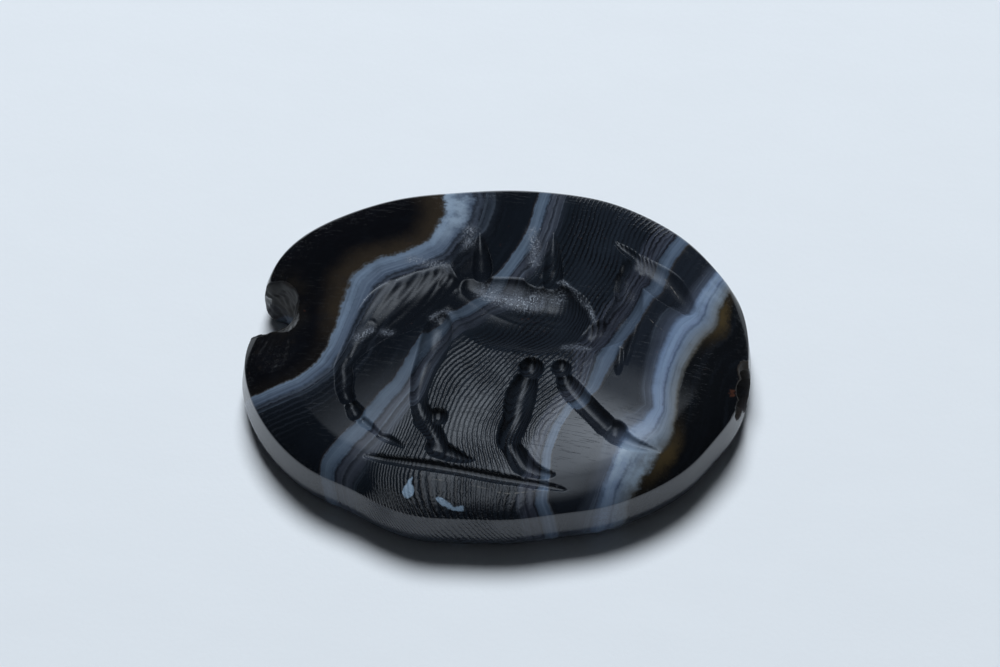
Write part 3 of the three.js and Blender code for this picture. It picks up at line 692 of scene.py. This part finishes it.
def band_offset(places, stations, lean):
    """Signed distance to the right of a band's middle line, in mm, and the band's half width there."""
    x = places[:, 0] + lean * (BAND_FACE - places[:, 2])
    y = places[:, 1]
    line = np.array(stations)
    for _ in range(2):  # cuts the corners of the line a little
        middle = (line[:-1] + line[1:]) / 2
        near = 0.18 * middle + 0.82 * line[:-1], 0.18 * middle + 0.82 * line[1:]
        line = np.vstack([line[:1], np.stack(near, 1).reshape(-1, 3), line[-1:]])
    start, end = line[:-1], line[1:]
    best = np.full(len(x), np.inf)
    offset = np.zeros(len(x))
    width = np.zeros(len(x))
    for (ax, ay, aw), (bx, by, bw) in zip(start, end):
        dx, dy = bx - ax, by - ay
        share = np.clip(((x - ax) * dx + (y - ay) * dy) / (dx * dx + dy * dy), 0, 1)
        away_x, away_y = x - ax - share * dx, y - ay - share * dy
        away = np.hypot(away_x, away_y)
        nearer = away < best
        best = np.where(nearer, away, best)
        side = np.sign(away_x * dy - away_y * dx)
        offset = np.where(nearer, away * side, offset)
        width = np.where(nearer, aw + share * (bw - aw), width)
    return offset, width


def grain_phase(places):
    """A count of the fine lines that grows across them."""
    anchors = np.array(GRAIN)
    turn = np.radians(anchors[:, 2])
    slope = np.column_stack([np.sin(turn), -np.cos(turn)]) / anchors[:, 3:4]
    mean = slope.mean(0)

    def second(dx, dy):
        fade = np.exp(-(dx ** 2 + dy ** 2) / (2 * GRAIN_REACH ** 2)) / GRAIN_REACH ** 2
        a, b = dx / GRAIN_REACH, dy / GRAIN_REACH
        return fade * (1 - a * a), -fade * a * b, fade * (1 - b * b)

    dx = anchors[:, None, 0] - anchors[None, :, 0]
    dy = anchors[:, None, 1] - anchors[None, :, 1]
    xx, xy, yy = second(dx, dy)
    rows = np.block([[xx, xy], [xy, yy]])
    weights = np.linalg.solve(rows + 0.02 * np.eye(len(rows)), (slope - mean).T.ravel())
    wx, wy = np.split(weights, 2)
    x = places[:, 0] + GRAIN_LEAN * (BAND_FACE - places[:, 2])
    y = places[:, 1]
    phase = mean[0] * x + mean[1] * y
    for (ax, ay), cx, cy in zip(anchors[:, :2], wx, wy):
        dx, dy = x - ax, y - ay
        fade = np.exp(-(dx ** 2 + dy ** 2) / (2 * GRAIN_REACH ** 2)) / GRAIN_REACH ** 2
        phase = phase + fade * (cx * dx + cy * dy)
    return phase


def line_distance(places, stations):
    """Distance in plan from a line with half widths, below zero inside it."""
    offset, width = band_offset(places, stations, 0)
    return np.abs(offset) - width


def distance(places, cx, cy, cz):
    x, y, z = places.T
    return np.sqrt((x - cx) ** 2 + (y - cy) ** 2 + (z - cz) ** 2)


def stone_marks(places):
    """What the stone's material needs to know at each vertex."""
    x, y, z = places.T
    marks = {}
    offsets = {}
    for name, band in BANDS.items():
        offset, width = band_offset(places, **band)
        offsets[name] = offset
        marks["across_" + name] = offset / width
    a, b, c, d = (offsets[k] for k in "abcd")
    zone = 4 + np.clip(d / 3, 0, 1)  # counts the bands passed, from 0 at the left end to 5 at the right
    for passed, left, right in ((3, c, d), (2, b, c), (1, a, b)):
        zone = np.where(right < 0, passed + left / np.maximum(left - right, 1e-6), zone)
    zone = np.where(a < 0, np.clip(1 + a / 3, 0, 1), zone)
    marks["zone"] = zone
    marks["grain"] = grain_phase(places)
    low_rust = np.exp(-(((y + 3.5) / 0.85) ** 2))
    high_rust = np.exp(-(((y - 2.1) / 0.9) ** 2))
    marks["rust"] = np.where(zone > 3.5, np.maximum(low_rust, high_rust), np.clip((y + 1.6) / 1.5, 0.12, 1))
    dim_b = 1 - 0.42 * np.exp(-(((y + 0.2) / 1.7) ** 2))
    dim_c = 1 - 0.25 * np.exp(-(((y - 1.5) / 3.0) ** 2))
    marks["pale"] = np.where(zone < 2.5, dim_b, dim_c)
    glow_d = 0.95 * np.exp(-(((y + 4.1) / 1.0) ** 2)) + 0.45 * np.exp(-(((y - 3.2) / 0.9) ** 2))
    marks["glow"] = np.where(zone > 3.0, glow_d, 0.7 * np.clip((y - 2.9) / 1.4, 0, 1))
    frost_and_highlights = np.zeros(len(x))
    for run, spread, strength in FROST_AND_HIGHLIGHTS:
        line = np.array(run)
        away = line_distance(places, np.column_stack([line, np.zeros(len(line))]))
        frost_and_highlights = np.maximum(frost_and_highlights, strength * np.exp(-((away / spread) ** 2)))
    marks["frost_and_highlights"] = frost_and_highlights
    marks["stain"] = np.clip(1 - distance(places, *STAIN[:3]) / STAIN[3], 0, 1)
    below, outside = (GIRTH_HEIGHT + 0.05 - z) / 0.05, (WALL_INSET + 0.015 - inset_of(x, y)) / 0.02
    marks["wall"] = np.clip(np.maximum(below, outside), 0, 1)
    # How far a place lies below the polished face: used to darken the cuts as painted shade and to roughen
    # them
    marks["cut"] = np.clip((face_height(x, y) - z) / 0.12, 0, 1) * (z > 1.5)
    beside = np.abs(y - DRILL_OFFSET) - NOTCH_HALF_WIDTH
    beyond = np.hypot(x - NOTCH_END + NOTCH_HALF_WIDTH, y - DRILL_OFFSET) - NOTCH_HALF_WIDTH
    notch_away = np.maximum(np.where(x < NOTCH_END - NOTCH_HALF_WIDTH, beside, beyond), 0)
    marks["notch_away"] = notch_away
    bare = np.clip(1.5 - np.abs(z - scar_height(x, y)) / 0.03, 0, 1)
    in_bore = np.hypot(y - DRILL_OFFSET, z - DRILL_HEIGHT) < DRILL_RADIUS + 0.04
    for cx, cy, cz, radius in MOUTH_CHIPS:
        bare = np.maximum(bare, (distance(places, cx, cy, cz) < radius * 1.06).astype(float))
    in_notch = ((notch_away < 0.07) & (x < -6.5)).astype(float)
    marks["notch_wall"] = in_notch
    bare = np.maximum(bare, in_notch)
    marks["mouth"] = ((bare > 0.5) | in_bore) & (x > 7)
    marks["broken"] = np.maximum(bare, in_bore)
    drop = np.hypot(x - SPOT_X, y - SPOT_Y) - SPOT_RADIUS
    spots = np.min([drop, *(line_distance(places, line) for line in SPOT_LINES)], axis=0)
    marks["spots"] = np.clip(spots, -1, 1)
    marks["scratch"] = np.clip(np.min([line_distance(places, s) for s in SCRATCHES], axis=0), -1, 1)
    return marks


class Nodes:
    """Short ways to add nodes to a material."""

    def __init__(self, name):
        self.material = bpy.data.materials.new(name)
        self.material.use_nodes = True
        self.tree = self.material.node_tree
        self.shader = self.tree.nodes["Principled BSDF"]

    def put(self, socket, value):
        if isinstance(value, bpy.types.NodeSocket):
            self.tree.links.new(value, socket)
        else:
            socket.default_value = value

    def set(self, name, value):
        self.put(self.shader.inputs[name], value)

    def add(self, kind, settings=(), **inputs):
        node = self.tree.nodes.new("ShaderNode" + kind)
        for key, value in dict(settings).items():
            setattr(node, key, value)
        for key, value in inputs.items():
            socket = node.inputs[int(key[1:])] if key[1:].isdigit() else node.inputs[key.replace("_", " ")]
            self.put(socket, value)
        return node

    def math(self, operation, *values):
        node = self.add("Math", {"operation": operation})
        for socket, value in zip(node.inputs, values):
            self.put(socket, value)
        return node.outputs[0]

    def plus(self, one, other):
        return self.math("ADD", one, other)

    def times(self, one, other, *more):
        made = self.math("MULTIPLY", one, other)
        return self.times(made, *more) if more else made

    def millimetres(self):
        """Place on the object, in millimetres."""
        inside = self.add("TexCoord").outputs["Object"]
        return self.add("VectorMath", {"operation": "SCALE"}, _0=inside, Scale=1 / MM).outputs[0]

    def mark(self, name):
        return self.add("Attribute", {"attribute_name": name}).outputs["Fac"]

    def between(self, value, low, high, start=0.0, end=1.0):
        node = self.add("MapRange", {"interpolation_type": "SMOOTHSTEP"})
        inputs = {"Value": value, "From Min": low, "From Max": high, "To Min": start, "To Max": end}
        for key, given in inputs.items():
            self.put(node.inputs[key], given)
        return node.outputs[0]

    def mix(self, share, one, other):
        node = self.tree.nodes.new("ShaderNodeMix")
        node.data_type = "RGBA"
        self.put(node.inputs["Factor"], share)
        self.put([s for s in node.inputs if s.name == "A" and s.type == "RGBA"][0], one)
        self.put([s for s in node.inputs if s.name == "B" and s.type == "RGBA"][0], other)
        return [s for s in node.outputs if s.type == "RGBA"][0]

    def tint(self, share, base, shade):
        return self.mix(share, base, linear(shade))

    def noise(self, place, scale, detail=2.0, roughness=0.5, stretch=None):
        if stretch:
            place = self.add("Mapping", Vector=place, Scale=stretch[0], Rotation=stretch[1]).outputs[0]
        node = self.add("TexNoise", Vector=place, Scale=scale, Detail=detail, Roughness=roughness)
        return node.outputs["Fac"]

    def ramp(self, value, stops):
        """Colours and how much they cover, along a value. A stop is position, display colour and cover."""
        node = self.tree.nodes.new("ShaderNodeValToRGB")
        self.put(node.inputs[0], value)
        spread = node.color_ramp
        while len(spread.elements) > 1:
            spread.elements.remove(spread.elements[-1])
        for i, (position, colour, cover) in enumerate(stops):
            element = spread.elements[0] if i == 0 else spread.elements.new(position)
            element.position = position
            element.color = (*linear(colour)[:3], cover)
        return node.outputs["Color"], node.outputs["Alpha"]


def linear(colour):
    """Linear colour from red, green and blue out of 255 as a display shows them."""
    shares = [v / 255 for v in colour]
    return (*[v / 12.92 if v <= 0.04045 else ((v + 0.055) / 1.055) ** 2.4 for v in shares], 1.0)


def agate():
    n = Nodes("banded_agate")
    place = n.millimetres()
    wobble = n.math("SUBTRACT", n.noise(place, 2.2, 4.0, 0.6), 0.5)
    fine_wobble = n.math("SUBTRACT", n.noise(place, 9.0, 3.0, 0.6), 0.5)
    sway = n.plus(n.times(wobble, 0.9), n.times(fine_wobble, 0.55))

    # Dark ground of the stone between its pale bands
    ground, _ = n.ramp(n.math("DIVIDE", n.mark("zone"), 5.0), GROUND_COLOURS)

    # Streaks that run along the bands
    parts = n.add("SeparateXYZ", Vector=place).outputs
    low_x, low_y = n.times(parts[0], 0.22), n.times(parts[1], 0.22)

    def streaks(across, closeness):
        run = n.times(n.plus(across, n.times(fine_wobble, 0.12)), closeness)
        return n.noise(n.add("CombineXYZ", X=run, Y=low_x, Z=low_y).outputs[0], 1.0, 3.0, 0.6)

    zone = n.mark("zone")
    ground_streaks = streaks(zone, 22.0)
    streaky = n.between(ground_streaks, 0.5, 0.85, 0.0, 0.35)
    streaky = n.times(streaky, n.between(zone, 0.95, 1.1, 0.15, 1.0))
    ground = n.tint(streaky, ground, (40, 47, 58))
    ground = n.tint(n.between(ground_streaks, 0.5, 0.2, 0.0, 0.5), ground, (7, 9, 13))

    def band(base, name, sway_size, pale=None):
        across = n.mark("across_" + name)
        value = n.plus(across, n.times(sway, sway_size))
        stops = [((at + 5) / 10, shade, cover) for at, shade, cover in BAND_COLOURS[name]]
        colour, cover = n.ramp(n.math("MULTIPLY_ADD", value, 0.1, 0.5), stops)
        thread = streaks(across, 3.4)
        colour = n.tint(n.between(thread, 0.5, 0.25, 0.0, 0.4), colour, (34, 39, 50))
        colour = n.tint(n.between(thread, 0.5, 0.8, 0.0, 0.3), colour, (124, 140, 160))
        if pale is not None:
            colour = n.mix(pale, base, colour)
        return n.mix(cover, base, colour)

    glow = n.mark("glow")
    rust = n.mark("rust")
    pale = n.mark("pale")
    edge_a = n.plus(n.mark("across_a"), n.times(sway, 1.2))
    by_a = n.times(n.between(edge_a, -3.8, -1.1), n.between(edge_a, 0.0, -0.6))
    ground = n.tint(n.times(by_a, rust, 0.85), ground, (44, 38, 31))
    edge_d = n.plus(n.mark("across_d"), n.times(sway, 0.8))
    by_d = n.times(n.between(edge_d, 0.3, 0.8), n.between(edge_d, 2.1, 1.2))
    ground = n.tint(n.times(by_d, rust, 0.9), ground, (66, 56, 37))

    colour = band(ground, "a", 0.9)
    colour = band(colour, "b", 0.8, pale)
    colour = band(colour, "c", 0.8, pale)
    colour = band(colour, "d", 0.35)

    lit = n.times(glow, n.between(n.noise(place, 1.6, 4.0, 0.6), 0.3, 0.65))
    in_a = n.times(n.between(edge_a, -1.1, -0.7), n.between(edge_a, 1.2, 0.3))
    in_d = n.times(n.between(edge_d, -1.1, -0.8), n.between(edge_d, 1.1, 0.6))
    colour = n.tint(n.times(lit, n.math("MAXIMUM", in_a, in_d)), colour, (136, 153, 171))

    # Fine lines between the second and third band, and fainter ones right of the first
    phase = n.plus(n.mark("grain"), n.times(n.plus(wobble, fine_wobble), 0.6))
    wave = n.math("SINE", n.times(phase, 2 * math.pi))
    lines = n.between(wave, -0.1, 0.8)
    where = n.times(n.between(zone, 2.1, 2.3), n.between(zone, 3.0, 2.8))
    patches = n.between(n.noise(place, 0.7, 2.0), 0.3, 0.6, 0.35, 1.0)
    colour = n.tint(n.times(where, patches, lines, 0.9), colour, (8, 9, 13))
    ab_wave = n.math("SINE", n.times(n.plus(n.mark("across_a"), wobble), 6.0))
    ab_lines = n.between(ab_wave, 0.2, 1.0)
    ab_where = n.times(n.between(zone, 1.1, 1.2), n.between(zone, 1.6, 1.35))
    colour = n.tint(n.times(ab_lines, ab_where, 0.2), colour, (52, 58, 68))

    # Cloudiness, ground wall with a painted reflection, breaks, painted shade in the cuts, stains, frosted
    # cuts with painted sheen and glints, spots and scratches
    cloud = n.noise(place, 1.3, 5.0, 0.65)
    colour = n.tint(n.between(cloud, 0.45, 0.8, 0.0, 0.25), colour, (20, 25, 33))
    wall = n.mark("wall")
    speckle = n.noise(place, 14.0, 3.0, 0.7)
    # The ground wall below the girth gets a lighter, bluish, speckled colour: partly the ground stone's own
    # paler tone, partly a painted reflection of the pale table
    wall_tone_and_reflection = n.times(wall, n.between(speckle, 0.3, 0.8, 0.2, 0.65))
    colour = n.tint(wall_tone_and_reflection, colour, (58, 65, 78))
    thin = n.between(n.plus(n.mark("notch_away"), n.times(wobble, 0.6)), 0.9, 0.0)
    brown = n.times(thin, n.between(cloud, 0.35, 0.7, 0.0, 0.45))
    colour = n.tint(brown, colour, (30, 26, 19))
    broken = n.mark("broken")
    crust = n.noise(place, 5.0, 6.0, 0.7)
    sunk_shade_and_roughness = n.mark("cut")
    # Painted shade: inside the engraved cuts the colour is darkened a quarter of the way toward near-black,
    # fully from 0.12 mm below the face
    colour = n.tint(n.times(sunk_shade_and_roughness, 0.25), colour, (10, 12, 17))
    crusted = n.times(broken, n.between(crust, 0.5, 0.75, 0.0, 0.5))
    colour = n.tint(crusted, colour, (30, 27, 24))
    soiled = n.times(n.mark("mouth"), n.between(cloud, 0.3, 0.6, 0.2, 0.7))
    colour = n.tint(soiled, colour, (42, 33, 22))
    stain = n.plus(n.mark("stain"), n.times(n.plus(wobble, fine_wobble), 1.2))
    colour = n.tint(n.between(stain, 0.3, 0.75, 0.0, 0.75), colour, (78, 48, 37))
    flecks = n.between(n.noise(place, 16.0, 2.0, 0.6), 0.5, 0.62)
    frost_and_highlights = n.mark("frost_and_highlights")
    # Paler frosted tone on the marked patches: partly the frosted stone's own whitish colour, partly painted
    # sheen
    frosted_and_sheen = n.times(frost_and_highlights, n.between(crust, 0.35, 0.65, 0.15, 0.8))
    colour = n.tint(frosted_and_sheen, colour, (98, 105, 118))
    # Bright flecks on the same patches: painted glints
    painted_glints = n.times(frost_and_highlights, flecks, n.between(cloud, 0.4, 0.6, 0.35, 1.0))
    colour = n.tint(painted_glints, colour, (160, 169, 182))
    spots = n.between(n.plus(n.mark("spots"), n.times(fine_wobble, 0.1)), 0.02, -0.02)
    colour = n.tint(spots, colour, (128, 150, 172))
    dashes = n.between(n.noise(place, 8.0, 1.0), 0.4, 0.55)
    scratch = n.times(n.between(n.mark("scratch"), 0.015, -0.005), dashes)
    colour = n.tint(n.times(scratch, 0.5), colour, (120, 118, 114))
    n.set("Base Color", colour)

    rough = n.plus(n.between(n.noise(place, 3.0, 4.0, 0.7), 0.3, 0.7, 0.07, 0.11),
                   n.times(wall, 0.08))
    rough = n.plus(rough, n.times(n.math("MAXIMUM", n.times(broken, 0.9), sunk_shade_and_roughness), 0.17))
    rough = n.plus(rough, n.times(n.math("MAXIMUM", n.mark("notch_wall"), n.mark("mouth")), 0.45))
    n.set("Roughness", rough)
    n.set("IOR", 1.54)
    n.set("Specular IOR Level", 0.5)

    # Relief too fine for the mesh, in thousandths of a millimetre
    grit = n.noise(place, 30.0, 3.0, 0.7)
    hair_one = n.noise(place, 3.0, 2.0, 0.5, stretch=((0.2, 14.0, 3.0), (0, 0, 0.5)))
    hair_two = n.noise(place, 3.0, 2.0, 0.5, stretch=((0.2, 16.0, 3.0), (0, 0, -1.0)))
    hairs = n.plus(n.between(hair_one, 0.66, 0.72), n.between(hair_two, 0.66, 0.72))
    ridged = n.times(where, patches, n.math("MULTIPLY_ADD", sunk_shade_and_roughness, -0.75, 1.0))
    height = n.plus(n.times(grit, 0.5), n.times(ridged, wave, 8.0))
    height = n.math("SUBTRACT", height, n.times(hairs, 0.9))
    height = n.plus(height, n.times(broken, crust, 14.0))
    height = n.plus(height, n.times(wall, speckle, 6.0))
    height = n.plus(height, n.times(frost_and_highlights, flecks, 14.0))
    bump = n.add("Bump", Strength=1.0, Distance=1e-6, Height=height)
    n.set("Normal", bump.outputs[0])
    return n.material


def table():
    n = Nodes("pale_table")
    place = n.millimetres()
    streak = n.noise(place, 1.0, 4.0, 0.6, stretch=((0.25, 0.6, 1.0), (0, 0, 0.1)))
    grain = n.noise(place, 6.0, 3.0, 0.6)
    shade = (*[v * FLOOR_SHADE for v in FLOOR_COLOUR], 1)
    colour = n.mix(n.between(streak, 0.3, 0.7), (*FLOOR_COLOUR, 1), shade)
    colour = n.mix(n.between(grain, 0.3, 0.7, 0.0, 0.5), colour, shade)
    n.set("Base Color", colour)
    n.set("Roughness", 0.75)
    bump = n.add("Bump", Strength=0.3, Distance=2e-5, Height=grain)
    n.set("Normal", bump.outputs[0])
    return n.material


# The stone
stone = mesh_object("agate_gem", *stone_mesh())
cut_away(stone, "notch", notch())
cut_away(stone, "bore", bore())
for ball in MOUTH_CHIPS:
    cut_away(stone, "chip", chip(*ball))
wear_rims(stone.data)
points = coordinates(stone.data)
for name, values in stone_marks(points).items():
    mark = stone.data.attributes.new(name, "FLOAT", "POINT")
    mark.data.foreach_set("value", np.ascontiguousarray(values, dtype=np.float32))
stone.data.vertices.foreach_set("co", ((points - BOX_MIDDLE) * MM).ravel())
stone.data.update()
stone.data.polygons.foreach_set("use_smooth", np.ones(len(stone.data.polygons), bool))
stone.data.materials.clear()
stone.data.materials.append(agate())
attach(stone, "root")
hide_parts("engraved_stone")

# Table, camera and lights
corners = np.array([[-1, -1, 0], [1, -1, 0], [1, 1, 0], [-1, 1, 0]]) * TABLE_HALF
floor = mesh_object("table", corners, np.array([[0, 1, 2, 3]]))
floor.data.materials.append(table())

level = math.cos(ELEVATION)
back = Vector((math.sin(AZIMUTH) * level, -math.cos(AZIMUTH) * level, math.sin(ELEVATION)))
right = Vector((math.cos(AZIMUTH), math.sin(AZIMUTH), 0))
up = back.cross(right)
aim = (Vector((-BOX_MIDDLE[0], -BOX_MIDDLE[1], AIM_HEIGHT)) + right * AIM_RIGHT + up * AIM_UP) * MM
camera_data = bpy.data.cameras.new("camera")
camera_data.lens = 200
camera_data.sensor_width = 36
camera_data.clip_start = 0.001
camera = bpy.data.objects.new("camera", camera_data)
bpy.context.collection.objects.link(camera)
facing = Matrix((right, up, back)).transposed().to_4x4()
camera.matrix_world = Matrix.Translation(aim + back * CAMERA_AWAY) @ facing
bpy.context.scene.camera = camera


def lamp(name, sideways, height, width, radiance, gloss):
    """Round soft light. Its place is in degrees as seen from the stone: sideways to the right, and height up
    from behind, past 90 on the camera's side. Its width is in degrees too. One kind of lamp shows only in
    reflections, fading out from its middle, and the other kind only lights."""
    across, rise = math.radians(sideways), math.radians(height)
    ahead = Vector((-math.sin(AZIMUTH), math.cos(AZIMUTH), 0))
    way = ahead * math.cos(rise) + Vector((0, 0, 1)) * math.sin(rise)
    way = way * math.cos(across) + right * math.sin(across)
    data = bpy.data.lights.new(name, "AREA")
    data.shape = "DISK"
    data.size = 2 * LAMP_AWAY * math.tan(math.radians(width / 2))
    data.energy = radiance * math.pi * math.pi * data.size ** 2 / 4
    data.color = (0.8, 0.89, 1.0) if gloss else (0.93, 0.97, 1.0)
    if gloss:
        half = math.radians(width / 2)
        data.spread = 2 * half
        data.energy *= (math.tan(half) - half) / math.tan(half)
    made = bpy.data.objects.new(name, data)
    bpy.context.collection.objects.link(made)
    side = right - way * right.dot(way)
    side.normalize()
    facing = Matrix((side, way.cross(side), way)).transposed().to_4x4()
    made.matrix_world = Matrix.Translation(way * LAMP_AWAY) @ facing
    made.visible_glossy = gloss
    made.visible_diffuse = not gloss


lamp("key", -2, 63, 25, 23.5, False)
lamp("softbox_back", 2, 83, 48, 2.4, True)
lamp("softbox_middle", 3, 112, 60, 1.5, True)
lamp("softbox_front", -2, 134, 40, 1.0, True)
lamp("softbox_right", 10, 77, 20, 2.6, True)

world = bpy.data.worlds.new("studio")
bpy.context.scene.world = world
world.use_nodes = True
world.node_tree.nodes["Background"].inputs["Color"].default_value = (0.85, 0.93, 1.0, 1)
world.node_tree.nodes["Background"].inputs["Strength"].default_value = 0.02
bpy.context.scene.view_settings.view_transform = "Standard"
